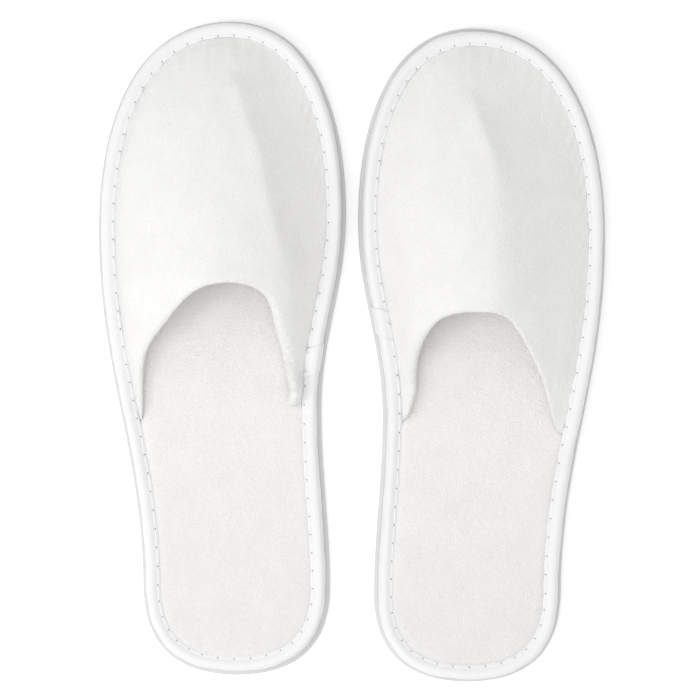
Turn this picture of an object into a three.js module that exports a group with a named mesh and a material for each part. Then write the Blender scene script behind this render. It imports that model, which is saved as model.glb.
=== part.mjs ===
// A pair of closed-toe spa slippers, in millimetres, +Z up, toes towards +Y, soles on Z = 0.
// Each slipper is an EVA outsole, an insole of board, pad and velour cover, a quilted toe upper of
// shell, foam and lining with a turned hem round the foot opening, and a tape bound and stitched
// round the edge of them all. The slippers are mirror images in outline; each upper lies in its
// own way. A slipper is built with the middle of its heel's back edge at its own origin, and its
// inner side, towards the other slipper, on the +X side of its outline.
import * as THREE from 'three';

// Sole outline: half widths from the centre line, and their distances from the back of the heel
const SOLE_LENGTH = 286;
const HEEL_INNER = 40.3;
const HEEL_OUTER = 41.4;
const HEEL_AT = 39;
const WAIST_INNER = 37.6;
const WAIST_AT = 112;
const BALL_INNER = 49.7;
const BALL_INNER_AT = 204;
const BALL_OUTER = 58.7;
const BALL_OUTER_AT = 192;

// Roundness of the outline's corners: 0 is a straight chamfer and 1 a square corner
const HEEL_ROUND = 0.66;
const TOE_ROUND_ACROSS = 0.7;
const TOE_ROUND_ALONG = 0.56;
const SIDE_EASE = 0.4;

// Thicknesses of the sole's layers and of the tape, and the glue line or play between two pieces
const OUTSOLE_THICKNESS = 4;
const BOARD_THICKNESS = 1.2;
const PAD_THICKNESS = 2.5;
const COVER_THICKNESS = 0.8;
const TAPE_THICKNESS = 0.7;
const GAP = 0.3;

// Binding: how far the outsole shows past it, how wide it lies on top, its thread and its lap
const OUTSOLE_RIM = 1.5;
const TAPE_WIDTH = 6.5;
const THREAD_DIAMETER = 0.8;
const THREAD_FROM_EDGE = 1;
const LAP_STATIONS = 1;

// Upper: each layer's thickness where it is free and where the binding squeezes it, outside first
const LAYERS = [
  { name: 'upper_shell', free: 1, sewn: 0.6, color: 0xf1f0ef, roughness: 0.95 },
  { name: 'upper_foam', free: 2, sewn: 0.6, color: 0xf3f1ea, roughness: 0.9 },
  { name: 'upper_lining', free: 0.8, sewn: 0.4, color: 0xeeeeec, roughness: 0.85 },
];
const HEM_THICKNESS = 1;
const HEM_WIDTH = 8.5;
const SEAM_CLEARANCE = 0.4;
const INNER_WING_AT = 119.5;
const OUTER_WING_AT = 111;
const WING_SLANT = 6;
const WING_RISE = 9;

// How the two slippers lie: gap between them, set-back of the right one and each one's toe-out
const PAIR_GAP = 5.3;
const RIGHT_SET_BACK = 3;
const TOE_OUT_DEG = 0.85;

// Stations round the outline, ahead of the wings and behind them
const FRONT_STEPS = 34;
const BACK_STEPS = 22;

// Each slipper's mouth: how high its upper stands over the seam, where the ridge meets the mouth
// on the way from the inner wing (0) to the outer wing (1), where the mouth's foremost point lies,
// how far in from the sole's edge its wings stand, and how full its two halves are
const SLIPPERS = [
  {
    name: 'left',
    side: 1,
    crown: 33,
    ridge: 0.38,
    mouthTip: [0, 170],
    wingInsets: [8.8, 12.7],
    fullness: [0.74, 0.62],
    lapAt: 2,
  },
  {
    name: 'right',
    side: -1,
    crown: 32,
    ridge: 0.6,
    mouthTip: [-4.8, 162],
    wingInsets: [12.7, 15],
    fullness: [0.5, 0.5],
    lapAt: 4,
  },
];

const tapeBottom = OUTSOLE_THICKNESS + GAP;
const boardBottom = tapeBottom + TAPE_THICKNESS + GAP;
const padBottom = boardBottom + BOARD_THICKNESS + GAP;
const coverBottom = padBottom + PAD_THICKNESS + GAP;
const coverTop = coverBottom + COVER_THICKNESS;
const sewnStack = LAYERS.reduce((sum, layer) => sum + layer.sewn + GAP, 0);
const freeStack = LAYERS.reduce((sum, layer) => sum + layer.free + GAP, 0) - GAP;
const springHeight = freeStack + GAP - sewnStack;
const seamTop = coverTop + sewnStack;
const insoleInset = OUTSOLE_RIM + TAPE_THICKNESS + GAP;
const tapeInset = OUTSOLE_RIM + TAPE_WIDTH;
const foldInset = tapeInset + SEAM_CLEARANCE;
const threadInset = tapeInset - THREAD_FROM_EDGE;

// The sole's outline, counter-clockwise from the back of the heel up the inner side
function solePath() {
  const path = new THREE.Path();
  const heelTurn = HEEL_AT * (1 - HEEL_ROUND);
  const waistEase = SIDE_EASE * (WAIST_AT - HEEL_AT);
  const ballEase = SIDE_EASE * (BALL_INNER_AT - WAIST_AT);
  const outerEase = SIDE_EASE * (BALL_OUTER_AT - HEEL_AT);
  const innerToe = BALL_INNER_AT + TOE_ROUND_ALONG * (SOLE_LENGTH - BALL_INNER_AT);
  const outerToe = BALL_OUTER_AT + TOE_ROUND_ALONG * (SOLE_LENGTH - BALL_OUTER_AT);
  path.moveTo(0, 0);
  path.bezierCurveTo(HEEL_ROUND * HEEL_INNER, 0, HEEL_INNER, heelTurn, HEEL_INNER, HEEL_AT);
  path.bezierCurveTo(HEEL_INNER, HEEL_AT + waistEase,
    WAIST_INNER, WAIST_AT - waistEase, WAIST_INNER, WAIST_AT);
  path.bezierCurveTo(WAIST_INNER, WAIST_AT + ballEase,
    BALL_INNER, BALL_INNER_AT - ballEase, BALL_INNER, BALL_INNER_AT);
  path.bezierCurveTo(BALL_INNER, innerToe,
    TOE_ROUND_ACROSS * BALL_INNER, SOLE_LENGTH, 0, SOLE_LENGTH);
  path.bezierCurveTo(-TOE_ROUND_ACROSS * BALL_OUTER, SOLE_LENGTH,
    -BALL_OUTER, outerToe, -BALL_OUTER, BALL_OUTER_AT);
  path.bezierCurveTo(-BALL_OUTER, BALL_OUTER_AT - outerEase,
    -HEEL_OUTER, HEEL_AT + outerEase, -HEEL_OUTER, HEEL_AT);
  path.bezierCurveTo(-HEEL_OUTER, heelTurn, -HEEL_ROUND * HEEL_OUTER, 0, 0, 0);
  return path;
}

// The place along a stretch of the outline, as a share of its length, where it crosses a given Y
function crossing(path, y, low, high) {
  const rising = path.getPoint(high).y > path.getPoint(low).y;
  let [from, to] = [low, high];
  for (let step = 0; step < 30; step += 1) {
    const middle = (from + to) / 2;
    if (path.getPoint(middle).y < y === rising) {
      from = middle;
    } else {
      to = middle;
    }
  }
  return (from + to) / 2;
}

// Stations round the outline: from the inner wing round the toe to the outer wing, then on round
// the heel. Each has its point and the direction out of the sole, mirrored for the right slipper.
function soleStations(side) {
  const path = solePath();
  const lengths = path.getCurveLengths();
  const total = lengths[lengths.length - 1];
  const toeShare = lengths[3] / total;
  const innerWing = crossing(path, INNER_WING_AT, lengths[0] / total, toeShare);
  const outerWing = crossing(path, OUTER_WING_AT, toeShare, lengths[5] / total);
  const shares = [];
  for (let i = 0; i < FRONT_STEPS; i += 1) {
    shares.push(innerWing + (outerWing - innerWing) * i / FRONT_STEPS);
  }
  for (let i = 0; i < BACK_STEPS; i += 1) {
    shares.push((outerWing + (1 + innerWing - outerWing) * i / BACK_STEPS) % 1);
  }
  return shares.map((share) => {
    const point = path.getPoint(share);
    const tangent = path.getTangent(share);
    return {
      point: new THREE.Vector2(side * point.x, point.y),
      out: new THREE.Vector2(side * tangent.y, -tangent.x),
    };
  });
}

// A point at a station, a distance in from the sole's edge and at a height
function insetPoint(station, inset, z) {
  const x = station.point.x - station.out.x * inset;
  const y = station.point.y - station.out.y * inset;
  return new THREE.Vector3(x, y, z);
}

// A closed solid between two grids of points, face to face. Its ends are closed, or it runs round
// in a loop and has none. Its faces are turned to point out of it.
function wallGeometry(faceA, faceB, loop) {
  const rows = faceA.length;
  const columns = faceA[0].length;
  const positions = [...faceA.flat(), ...faceB.flat()].flatMap((p) => [p.x, p.y, p.z]);
  const a = (i, j) => (i % rows) * columns + j;
  const b = (i, j) => rows * columns + a(i, j);
  const index = [];
  const quad = (p, q, r, s) => index.push(p, q, r, p, r, s);
  for (let i = 0; i < (loop ? rows : rows - 1); i += 1) {
    for (let j = 0; j < columns - 1; j += 1) {
      quad(a(i, j), a(i + 1, j), a(i + 1, j + 1), a(i, j + 1));
      quad(b(i, j), b(i, j + 1), b(i + 1, j + 1), b(i + 1, j));
    }
    quad(a(i, 0), b(i, 0), b(i + 1, 0), a(i + 1, 0));
    quad(a(i, columns - 1), a(i + 1, columns - 1), b(i + 1, columns - 1), b(i, columns - 1));
  }
  if (!loop) {
    for (let j = 0; j < columns - 1; j += 1) {
      quad(a(0, j), a(0, j + 1), b(0, j + 1), b(0, j));
      quad(a(rows - 1, j), b(rows - 1, j), b(rows - 1, j + 1), a(rows - 1, j + 1));
    }
  }
  const geometry = new THREE.BufferGeometry();
  geometry.setAttribute('position', new THREE.Float32BufferAttribute(positions, 3));
  geometry.setIndex(signedVolume(positions, index) < 0 ? index.reverse() : index);
  geometry.computeVertexNormals();
  return geometry;
}

function signedVolume(positions, index) {
  const corner = (k) => new THREE.Vector3().fromArray(positions, 3 * index[k]);
  let volume = 0;
  for (let k = 0; k < index.length; k += 3) {
    volume += corner(k).dot(corner(k + 1).cross(corner(k + 2))) / 6;
  }
  return volume;
}

// A flat layer of the sole, cut to the outline less an inset
function plateGeometry(stations, inset, bottom, thickness) {
  const corners = stations.map((station) => {
    const point = insetPoint(station, inset, 0);
    return new THREE.Vector2(point.x, point.y);
  });
  const shape = new THREE.Shape(corners);
  const geometry = new THREE.ExtrudeGeometry(shape, { depth: thickness, bevelEnabled: false });
  return geometry.translate(0, 0, bottom);
}

// Underside of the tape's upper flap: it rises where the upper's edge lies under it
function flapBottom(index) {
  const behind = Math.min(index - FRONT_STEPS, FRONT_STEPS + BACK_STEPS - index);
  const low = coverTop + GAP;
  const high = seamTop + GAP;
  return behind > 0 ? low : high;
}

// The tape is a C in section, open towards the middle of the sole
function tapeGeometry(stations) {
  const outside = stations.map((station, index) => {
    const top = flapBottom(index) + TAPE_THICKNESS;
    return [
      insetPoint(station, tapeInset, top),
      insetPoint(station, OUTSOLE_RIM, top),
      insetPoint(station, OUTSOLE_RIM, tapeBottom),
      insetPoint(station, tapeInset, tapeBottom),
    ];
  });
  const innerFace = OUTSOLE_RIM + TAPE_THICKNESS;
  const inside = stations.map((station, index) => [
    insetPoint(station, tapeInset, flapBottom(index)),
    insetPoint(station, innerFace, flapBottom(index)),
    insetPoint(station, innerFace, tapeBottom + TAPE_THICKNESS),
    insetPoint(station, tapeInset, tapeBottom + TAPE_THICKNESS),
  ]);
  return wallGeometry(outside, inside, true);
}

// The thread lies on the tape's upper flap, one loop all the way round
function threadGeometry(stations) {
  const near = threadInset - THREAD_DIAMETER / 2;
  const far = threadInset + THREAD_DIAMETER / 2;
  const strip = (rise) => stations.map((station, index) => {
    const z = flapBottom(index) + TAPE_THICKNESS + GAP + rise;
    return [insetPoint(station, near, z), insetPoint(station, far, z)];
  });
  return wallGeometry(strip(THREAD_DIAMETER), strip(0), true);
}

// The tape's end is lapped over its start on the inner side: an L over the top and the outer face
function lapGeometry(stations, first) {
  const chosen = stations.slice(first, first + LAP_STATIONS + 1);
  const inner = threadInset - THREAD_DIAMETER / 2 - GAP;
  const section = (away) => chosen.map((station, k) => {
    const top = flapBottom(first + k) + TAPE_THICKNESS + away;
    const side = OUTSOLE_RIM - away;
    return [
      insetPoint(station, inner, top),
      insetPoint(station, side, top),
      insetPoint(station, side, tapeBottom + TAPE_THICKNESS),
    ];
  });
  return wallGeometry(section(GAP + TAPE_THICKNESS), section(GAP), false);
}

// The mouth's edge in plan, from the inner wing past its foremost point to the outer wing
function mouthPath(slipper) {
  const path = solePath();
  const lengths = path.getCurveLengths();
  const total = lengths[lengths.length - 1];
  const toeShare = lengths[3] / total;
  const innerShare = crossing(path, INNER_WING_AT + WING_SLANT, lengths[0] / total, toeShare);
  const outerShare = crossing(path, OUTER_WING_AT + WING_SLANT, toeShare, lengths[5] / total);
  const [inner, outer] = [path.getPoint(innerShare), path.getPoint(outerShare)];
  inner.x -= slipper.wingInsets[0];
  outer.x += slipper.wingInsets[1];
  const [tipX, tipY] = slipper.mouthTip;
  const [innerFull, outerFull] = slipper.fullness;
  const mouth = new THREE.Path();
  mouth.moveTo(inner.x, inner.y);
  mouth.bezierCurveTo(inner.x, inner.y + innerFull * (tipY - inner.y),
    tipX + innerFull * (inner.x - tipX), tipY, tipX, tipY);
  mouth.bezierCurveTo(tipX + outerFull * (outer.x - tipX), tipY,
    outer.x, outer.y + outerFull * (tipY - outer.y), outer.x, outer.y);
  return mouth;
}

// Shares of the way up from the seam to the hem's edge where the upper has a ring of points
const RINGS = [0.1, 0.32, 0.64, 1];

// Height gained on the way over the toe from the seam, 0, to the mouth, 1: steep, then level
function domeRise(share) {
  return (1 - (1 - share) ** 2.2) ** 0.75;
}

// The upper's outer surface and its directions, station by station from the inner wing to the
// outer: the squeezed margin under the tape, the fold at the seam, the rings and the mouth's edge
function upperSurface(slipper, stations) {
  const mouth = mouthPath(slipper);
  const skew = Math.log(0.5) / Math.log(slipper.ridge);
  const grid = stations.slice(0, FRONT_STEPS + 1).map((station, i) => {
    const share = i / FRONT_STEPS;
    const edge = mouth.getPoint(share);
    const arch = (1 - Math.cos(2 * Math.PI * share ** skew)) / 2;
    const height = WING_RISE + (slipper.crown - WING_RISE) * arch;
    const fold = insetPoint(station, foldInset, seamTop);
    const top = new THREE.Vector3(slipper.side * edge.x, edge.y, seamTop + height);
    const hemShare = 1 - HEM_WIDTH / (fold.distanceTo(top) + HEM_WIDTH);
    const climb = [...RINGS.map((ring) => ring * hemShare), 1];
    const points = climb.map((part) => {
      const point = fold.clone().lerp(top, part);
      point.z = seamTop + height * THREE.MathUtils.lerp(part, domeRise(part), arch);
      return point;
    });
    return [insetPoint(station, insoleInset, seamTop), fold, ...points];
  });
  const up = new THREE.Vector3(0, 0, 1);
  const inward = grid.map((row, i) => row.map((point, j) => {
    const out = new THREE.Vector3(stations[i].out.x, stations[i].out.y, 0);
    if (j === 0) {
      return up.clone().negate();
    }
    if (j === 1) {
      return up.clone().add(out).negate();
    }
    const climb = new THREE.Vector3().subVectors(row[Math.min(j + 1, row.length - 1)], row[j - 1]);
    const level = -climb.dot(out);
    return out.multiplyScalar(climb.z).addScaledVector(up, level).normalize().negate();
  }));
  return { grid, inward };
}

// The upper's surface moved in by a depth. The binding squeezes the layers, and they spring back to
// their free depth over the first stretch of the climb, so none dips below the squeezed margin.
function surfaceAt(surface, sewnDepth, freeDepth) {
  return surface.grid.map((row, i) => row.map((point, j) => {
    const spring = THREE.MathUtils.clamp((point.z - seamTop) / springHeight, 0, 1);
    const depth = THREE.MathUtils.lerp(sewnDepth, freeDepth, spring);
    return point.clone().addScaledVector(surface.inward[i][j], depth);
  }));
}

// The turned hem: it covers the layers' ends at the mouth and runs back down inside the lining
function hemGeometry(surface) {
  const last = surface.grid[0].length - 1;
  const strip = (depth, past) => surface.grid.map((row, i) => {
    const beyond = new THREE.Vector3().subVectors(row[last], row[last - 1]).normalize();
    const at = (j, inwards, ahead) => row[j].clone()
      .addScaledVector(surface.inward[i][j], inwards)
      .addScaledVector(beyond, ahead);
    return [at(last - 1, depth, 0), at(last, depth, past), at(last, 0, past)];
  });
  const innerDepth = freeStack + GAP;
  return wallGeometry(
    strip(innerDepth + HEM_THICKNESS, GAP + HEM_THICKNESS),
    strip(innerDepth, GAP),
    false,
  );
}

function piece(name, geometry, color, roughness) {
  const material = new THREE.MeshStandardMaterial({ color, roughness, metalness: 0 });
  const mesh = new THREE.Mesh(geometry, material);
  mesh.name = name;
  return mesh;
}

function slipperGroup(slipper) {
  const stations = soleStations(slipper.side);
  const surface = upperSurface(slipper, stations);
  const group = new THREE.Group();
  const add = (name, geometry, color, roughness) => {
    group.add(piece(`${slipper.name}_${name}`, geometry, color, roughness));
  };
  add('outsole', plateGeometry(stations, 0, 0, OUTSOLE_THICKNESS), 0xe4e4e4, 0.7);
  add('insole_board',
    plateGeometry(stations, insoleInset, boardBottom, BOARD_THICKNESS), 0xd9cfbd, 0.9);
  add('insole_pad', plateGeometry(stations, insoleInset, padBottom, PAD_THICKNESS), 0xf2efe6, 0.9);
  add('insole_cover',
    plateGeometry(stations, insoleInset, coverBottom, COVER_THICKNESS), 0xf1efed, 0.95);
  add('binding_tape', tapeGeometry(stations), 0xf0f1f3, 0.8);
  add('binding_stitching', threadGeometry(stations), 0xf4f4f4, 0.6);
  add('binding_lap', lapGeometry(stations, slipper.lapAt), 0xf0f1f3, 0.8);
  let sewnDepth = 0;
  let freeDepth = 0;
  for (const layer of LAYERS) {
    const outside = surfaceAt(surface, sewnDepth, freeDepth);
    const inside = surfaceAt(surface, sewnDepth + layer.sewn, freeDepth + layer.free);
    add(layer.name, wallGeometry(outside, inside, false), layer.color, layer.roughness);
    sewnDepth += layer.sewn + GAP;
    freeDepth += layer.free + GAP;
  }
  add('mouth_hem', hemGeometry(surface), 0xf1f0ef, 0.95);
  group.rotation.z = THREE.MathUtils.degToRad(slipper.side * TOE_OUT_DEG);
  return group;
}

// The pair stands side by side, and its origin is the middle of its bounding box, on the floor
function pairGroup() {
  const [left, right] = SLIPPERS.map(slipperGroup);
  const box = (object) => new THREE.Box3().setFromObject(object, true);
  left.position.x = -PAIR_GAP / 2 - box(left).max.x;
  right.position.x = PAIR_GAP / 2 - box(right).min.x;
  right.position.y = -RIGHT_SET_BACK;
  const pair = new THREE.Group();
  pair.add(left, right);
  const middle = box(pair).getCenter(new THREE.Vector3());
  pair.position.set(-middle.x, -middle.y, 0);
  return pair;
}

const pair = pairGroup();
pair.updateMatrixWorld(true);

export default pair;
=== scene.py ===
import math

import bmesh
import bpy
import numpy as np
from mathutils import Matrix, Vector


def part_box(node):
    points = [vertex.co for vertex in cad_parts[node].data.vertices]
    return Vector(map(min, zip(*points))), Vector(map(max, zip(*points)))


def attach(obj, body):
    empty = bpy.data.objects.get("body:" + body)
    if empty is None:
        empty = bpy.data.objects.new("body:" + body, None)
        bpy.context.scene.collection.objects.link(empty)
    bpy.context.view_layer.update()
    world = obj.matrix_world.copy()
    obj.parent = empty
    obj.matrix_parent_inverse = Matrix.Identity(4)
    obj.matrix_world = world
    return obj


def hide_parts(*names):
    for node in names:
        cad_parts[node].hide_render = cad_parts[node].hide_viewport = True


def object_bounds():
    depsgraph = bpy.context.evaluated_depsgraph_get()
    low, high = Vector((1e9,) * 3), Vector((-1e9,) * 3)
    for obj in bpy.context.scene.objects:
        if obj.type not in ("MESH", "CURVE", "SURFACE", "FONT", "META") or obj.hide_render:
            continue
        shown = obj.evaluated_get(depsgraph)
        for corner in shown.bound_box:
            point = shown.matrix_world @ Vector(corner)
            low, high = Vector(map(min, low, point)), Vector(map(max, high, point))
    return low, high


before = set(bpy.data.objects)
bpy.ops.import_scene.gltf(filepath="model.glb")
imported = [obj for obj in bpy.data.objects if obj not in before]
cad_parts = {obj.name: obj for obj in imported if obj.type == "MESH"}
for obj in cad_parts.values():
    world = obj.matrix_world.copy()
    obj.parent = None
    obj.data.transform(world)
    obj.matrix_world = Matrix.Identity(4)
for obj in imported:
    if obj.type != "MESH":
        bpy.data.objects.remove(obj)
cad_low, cad_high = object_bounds()
scene = bpy.context.scene


# ---- Stage ----
# A plain pale floor that runs out of sight, soft light from the left and from above, an even
# white surround, and a camera that looks straight down on the pair.

floor_size = 6.0
floor_drop = 0.00005
view_width = 0.3072
camera_height = 1.6
camera_shift = (-0.0009, 0.0007)
sensor_width = 36.0
surround_strength = 0.655
floor_glow = 0.20


def floor_mesh(size, count=24):
    """A level square just under the soles: x and y each run evenly from -size/2 to size/2."""
    run = np.linspace(-size / 2, size / 2, count)
    x, y = np.meshgrid(run, run, indexing="ij")
    points = np.dstack([x, y, np.full_like(x, -floor_drop)]).reshape(-1, 3)
    corner = np.arange(count * count).reshape(count, count)
    quads = np.dstack([corner[:-1, :-1], corner[1:, :-1], corner[1:, 1:], corner[:-1, 1:]])
    mesh = bpy.data.meshes.new("surface")
    mesh.from_pydata(points.tolist(), [], quads.reshape(-1, 4).tolist())
    return mesh


def show(name, mesh, material):
    """Puts a mesh in the scene as an object at the origin, with its material."""
    mesh.name = name
    mesh.materials.append(material)
    piece = bpy.data.objects.new(name, mesh)
    scene.collection.objects.link(piece)
    return piece


class Wire:
    """One output of a material's nodes, so that shader maths reads as plain expressions."""

    def __init__(self, tree, socket=None):
        self.tree = tree
        self.socket = socket

    def node(self, kind, settings, sockets, output=0):
        """Adds a node, sets it, fills or links its sockets, and returns one of its outputs."""
        node = self.tree.nodes.new(kind)
        for name, value in settings.items():
            setattr(node, name, value)
        for name, value in sockets.items():
            if isinstance(value, Wire):
                self.tree.links.new(value.socket, node.inputs[name])
            else:
                node.inputs[name].default_value = value
        return Wire(self.tree, node.outputs[output])

    def math(self, operation, first, second):
        return self.node("ShaderNodeMath", {"operation": operation}, {0: first, 1: second})

    def __add__(self, other):
        return self.math("ADD", self, other)

    __radd__ = __add__

    def __sub__(self, other):
        return self.math("SUBTRACT", self, other)

    def __rsub__(self, other):
        return self.math("SUBTRACT", other, self)

    def __mul__(self, other):
        return self.math("MULTIPLY", self, other)

    __rmul__ = __mul__

    def between(self, low, high):
        """0 below low, 1 above high, and smooth between them."""
        return self.node(
            "ShaderNodeMapRange",
            {"interpolation_type": "SMOOTHSTEP"},
            {"Value": self, "From Min": low, "From Max": high},
        )

    def places(self):
        """Places on the piece, in metres from the origin that all pieces share."""
        return self.node("ShaderNodeTexCoord", {}, {}, "Object")

    def stretched(self, where, scale, turn):
        """Places scaled along each axis, and turned about the vertical."""
        return self.node(
            "ShaderNodeMapping", {}, {"Vector": where, "Scale": scale, "Rotation": (0, 0, turn)}
        )

    def noise(self, where, scale, detail=3.0, roughness=0.5):
        sockets = {"Vector": where, "Scale": scale, "Detail": detail, "Roughness": roughness}
        return self.node("ShaderNodeTexNoise", {}, sockets, "Fac")

    def cells(self, where, scale, feature="F1"):
        sockets = {"Vector": where, "Scale": scale}
        return self.node("ShaderNodeTexVoronoi", {"feature": feature}, sockets, "Distance")

    def tint(self, share, first, second):
        """A colour between two others."""
        return self.node("ShaderNodeMix", {"data_type": "RGBA"}, {0: share, 6: first, 7: second}, 2)

    def relief(self, height, depth, strength=1.0):
        """The surface's normal, tilted by a height between 0 and 1 over a depth in metres."""
        sockets = {"Height": height, "Distance": depth, "Strength": strength}
        return self.node("ShaderNodeBump", {}, sockets)


def material(name, roughness, specular, constants={}):
    """A new material: its Principled shader with the constant values, and a wire to build on."""
    made = bpy.data.materials.new(name)
    made.use_nodes = True
    shader = made.node_tree.nodes["Principled BSDF"]
    constants = {"Roughness": roughness, "Specular IOR Level": specular, **constants}
    for socket, value in constants.items():
        shader.inputs[socket].default_value = value
    return made, Wire(made.node_tree)


def finish_with(made, colour, relief=None):
    """Links the colour and the relief, which vary over the surface, to the material's shader."""
    shader = made.node_tree.nodes["Principled BSDF"]
    made.node_tree.links.new(colour.socket, shader.inputs["Base Color"])
    if relief:
        made.node_tree.links.new(relief.socket, shader.inputs["Normal"])
    return made


def floor_paint():
    """White studio paper with a very faint mottle, lit a little from behind as on a light table."""
    glow = {"Emission Color": (1, 1, 1, 1), "Emission Strength": floor_glow}
    made, wire = material("studio_floor", 0.9, 0.1, glow)
    mottle = wire.noise(wire.places(), 9.0)
    colour = wire.tint(mottle, (0.93, 0.93, 0.93, 1), (0.95, 0.95, 0.95, 1))
    return finish_with(made, colour)


show("studio_floor", floor_mesh(floor_size), floor_paint())

surround = bpy.data.worlds.new("surround")
surround.use_nodes = True
glow = surround.node_tree.nodes["Background"].inputs
glow["Color"].default_value = (1, 1, 1, 1)
glow["Strength"].default_value = surround_strength
scene.world = surround
scene.view_settings.view_transform = "Standard"
scene.view_settings.look = "None"


def soft_light(name, place, size, power):
    """A square area light at a place, turned to face the origin."""
    lamp = bpy.data.lights.new(name, "AREA")
    lamp.shape = "SQUARE"
    lamp.size = size
    lamp.energy = power
    lit = bpy.data.objects.new(name, lamp)
    lit.location = place
    x, y, z = place
    lit.rotation_euler = (math.atan2(math.hypot(x, y), z), 0, math.atan2(y, x) + math.pi / 2)
    scene.collection.objects.link(lit)


soft_light("key_light", place=(-0.90, -0.20, 0.87), size=0.42, power=2.3)
soft_light("overhead_light", place=(-0.20, -0.25, 1.00), size=0.9, power=4.5)

lens = bpy.data.cameras.new("camera")
lens.sensor_width = sensor_width
lens.lens = sensor_width * camera_height / view_width
lens.clip_end = 20.0
camera = bpy.data.objects.new("camera", lens)
camera.location = ((cad_low[0] + cad_high[0]) / 2 + camera_shift[0], camera_shift[1], camera_height)
scene.collection.objects.link(camera)
scene.camera = camera


# ---- Outsoles ----
# Each slipper stands on a sheet of closed-cell EVA foam, cut to the sole's outline with its edge
# slightly rounded, and moulded underneath with shallow wavy ribs against slipping.

edge_steps = 612
outsole_round = 0.0011
tread_depth = 0.0004
tread_pitch = 0.0065
tread_wave = 0.0035
tread_wave_length = 0.024
tread_margin = 0.004
outsole_fill = 30
spine_from = 0.17
spine_run = 0.62


def between_rows(values, places):
    """Values at places between rows: the cubic through the two rows on either side of each."""
    k = np.clip(np.floor(places).astype(int), 0, len(values) - 2)
    f = (places - k).reshape((-1,) + (1,) * (values.ndim - 1))
    before, first = values[np.maximum(k - 1, 0)], values[k]
    second, after = values[k + 1], values[np.minimum(k + 2, len(values) - 1)]
    slope_1, slope_2 = (second - before) / 2, (after - first) / 2
    return (
        (1 + 2 * f) * (1 - f) ** 2 * first
        + f * (1 - f) ** 2 * slope_1
        + f * f * (3 - 2 * f) * second
        - f * f * (1 - f) * slope_2
    )


def resampled(rows, count):
    """The cubic through the rows, at a number of places spread evenly over the rows' order."""
    rows = np.array(rows)
    return between_rows(rows, np.linspace(0, len(rows) - 1, count))


def wrapped(rows):
    """Rows of a closed ring with its last two repeated before it and its first three after."""
    return np.concatenate([rows[-2:], rows, rows[:3]])


def evenly(points, count, closed=False):
    """Points spaced evenly by length along a line through the given ones."""
    line = np.concatenate([points, points[:1]]) if closed else points
    run = np.concatenate([[0], np.cumsum(np.linalg.norm(np.diff(line, axis=0), axis=1))])
    at = np.linspace(0, run[-1], count, endpoint=not closed)
    return np.stack([np.interp(at, run, line[:, axis]) for axis in range(line.shape[1])], axis=1)


class Sole:
    """The plan of one slipper's sole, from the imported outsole.

    Its corners are put in order by their angle about the middle, joined by a closed cubic, and
    spaced evenly from the back of the heel, up the inner side first. `side` is 1 where that side
    lies towards +X and -1 otherwise, `out` points out of the sole, and `spine` is the middle line,
    where the layers' rings close up.
    """

    def __init__(self, name, side):
        self.name = name
        self.side = side
        low, high = (np.array(corner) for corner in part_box(f"{name}_outsole"))
        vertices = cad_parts[f"{name}_outsole"].data.vertices
        places = np.empty(len(vertices) * 3, np.float32)
        vertices.foreach_get("co", places)
        corners = np.unique(places.reshape(-1, 3)[:, :2].round(6), axis=0).astype(float)
        middle = (low + high)[:2] / 2
        angle = np.arctan2(side * (corners[:, 0] - middle[0]), -(corners[:, 1] - middle[1]))
        ring = corners[np.argsort(angle)]
        dense = np.linspace(2, len(ring) + 2, 24 * len(ring), endpoint=False)
        dense = between_rows(wrapped(ring), dense)
        dense = np.roll(dense, -np.argmin(dense[:, 1]), axis=0)
        self.edge = evenly(dense, edge_steps, closed=True)
        ahead = np.roll(self.edge, -1, axis=0) - np.roll(self.edge, 1, axis=0)
        ahead /= np.linalg.norm(ahead, axis=1)[:, None]
        self.out = np.stack([side * ahead[:, 1], -side * ahead[:, 0]], axis=1)
        self.length = np.linalg.norm(np.diff(self.edge, axis=0), axis=1).sum()
        self.heel = low[1]
        self.toe = high[1]
        share = 1 - np.abs(1 - 2 * np.arange(edge_steps) / edge_steps)
        reach = spine_from + spine_run * np.clip((share - 0.1) / 0.78, 0, 1)
        along = self.heel + reach * (self.toe - self.heel)
        self.spine = np.stack([self.across(0.5, along), along], axis=1)

    def inset(self, distance):
        """The outline moved in by a distance, which may differ from place to place."""
        return self.edge - self.out * np.reshape(distance, (-1, 1))

    def sides(self, y, distance=0.0):
        """X of the outline's inner and outer side at a Y, after moving it in by a distance."""
        line = self.inset(distance)
        top = np.argmax(line[:, 1])
        inner = np.interp(y, line[: top + 1, 1], line[: top + 1, 0])
        outer = np.interp(y, line[: top - 1 : -1, 1], line[: top - 1 : -1, 0])
        return inner, outer

    def across(self, share, y):
        """X of a point that lies a share of the way from the inner side to the outer side."""
        inner, outer = self.sides(y)
        return inner + (outer - inner) * share


SOLES = [Sole("left", 1), Sole("right", -1)]


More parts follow.
